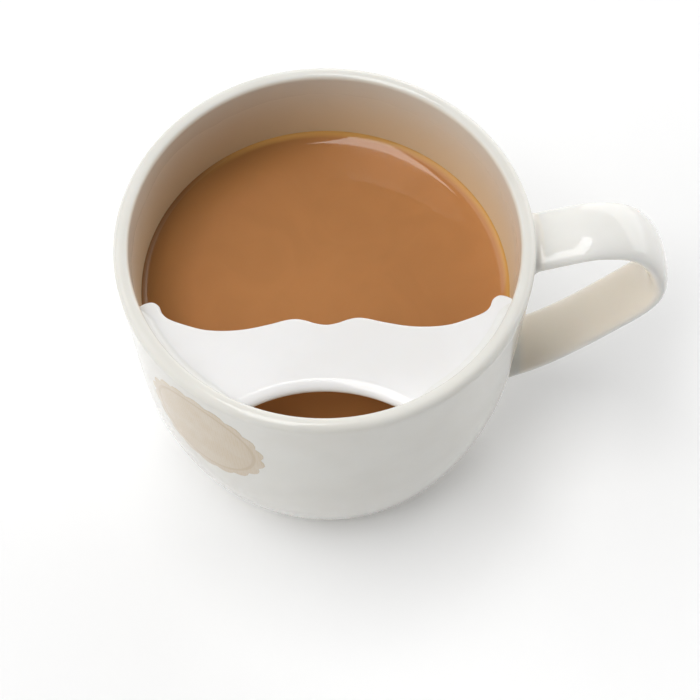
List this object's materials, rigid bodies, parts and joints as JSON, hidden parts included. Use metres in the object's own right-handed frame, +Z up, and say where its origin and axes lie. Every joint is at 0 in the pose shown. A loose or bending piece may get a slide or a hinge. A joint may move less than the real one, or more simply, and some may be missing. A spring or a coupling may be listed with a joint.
{
  "type": "moustache cup",
  "caption": "Round-bellied white porcelain cup with an ear handle, a moustache-shaped ledge across the front of its mouth and a drinking slot at the rim, filled with milky tea.",
  "frame": {"origin": "centre of the foot ring, on the surface the cup stands on", "axes": "+Z up along the cup's axis, -Y towards the drinker and the drinking slot, +X towards the handle"},
  "size_m": [0.1278, 0.095, 0.078],
  "materials": {
    "white_glaze": "white porcelain under a clear glossy glaze",
    "print_colour": "pale beige ceramic colour fired on as a thin transfer",
    "tea": "milky tea: a still, glossy, opaque liquid"
  },
  "bodies": {
    "root": {"cup_body": "white_glaze", "handle": "white_glaze", "moustache_guard": "white_glaze", "handle_upper_slip_joint": "white_glaze", "handle_lower_slip_joint": "white_glaze", "guard_slip_joint": "white_glaze", "transfer_print": "print_colour", "tea": "tea"}
  },
  "joints": []
}
